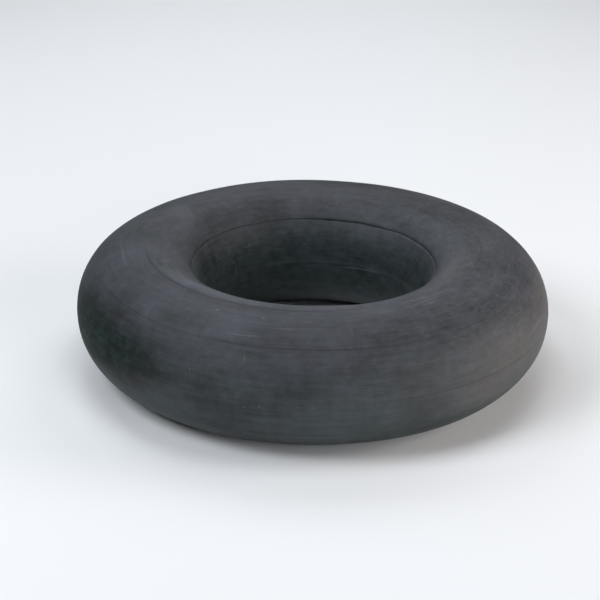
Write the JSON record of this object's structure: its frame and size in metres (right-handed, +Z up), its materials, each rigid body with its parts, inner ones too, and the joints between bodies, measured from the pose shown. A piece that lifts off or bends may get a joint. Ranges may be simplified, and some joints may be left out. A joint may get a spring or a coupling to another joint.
{
  "type": "inflated inner tube",
  "caption": "Large inflated rubber inner tube lying flat, a smooth hollow ring with faint moulding lines and a bent brass valve on its inner wall.",
  "frame": {"origin": "middle of the ring, at the level of the flat it rests on", "axes": "+Z up along the ring's axis; the valve stands on the inner wall on the -Y side and its stem runs down along -Z"},
  "size_m": [1.0496, 1.0496, 0.2834],
  "materials": {
    "tube_rubber": "matte",
    "pad_rubber": "matte",
    "valve_brass": "satin",
    "plated_steel": "satin",
    "core_brass": "satin",
    "core_steel": "satin",
    "seal_rubber": "matte",
    "cap_brass": "satin"
  },
  "bodies": {
    "tube": {"tube_body": "tube_rubber", "valve_pad": "pad_rubber", "bridge_washer": "plated_steel", "ring_washer": "plated_steel", "clamp_nut": "valve_brass", "valve_stem": "valve_brass", "core_plug": "core_brass", "core_barrel": "core_brass", "barrel_gasket": "seal_rubber", "core_spring": "core_steel"},
    "core": {"core_pin": "core_steel", "core_cup": "core_brass", "cup_gasket": "seal_rubber"},
    "cap_seal": {"cap_gasket": "seal_rubber"},
    "cap": {"valve_cap": "cap_brass"}
  },
  "joints": [
    {"name": "core_press", "type": "slide", "parent": "tube", "child": "core", "axis": [0, 0, 1], "range_m": [0, 0.0015], "stiffness_N_per_m": 1000, "springref_m": -0.0015, "deforming": ["core_spring"]},
    {"name": "cap_lift", "type": "slide", "parent": "tube", "child": "cap_seal", "axis": [0, 0, -1], "range_m": [0, 0.00795]},
    {"name": "cap_turn", "type": "hinge", "parent": "cap_seal", "child": "cap", "pos_m": [0, -0.2096, 0.0503], "axis": [0, 0, -1], "range_deg": [0, 3600]}
  ],
  "couplings": [
    {"joint": "cap_lift", "follows": "cap_turn", "m_per_rad": 0.00012633}
  ]
}
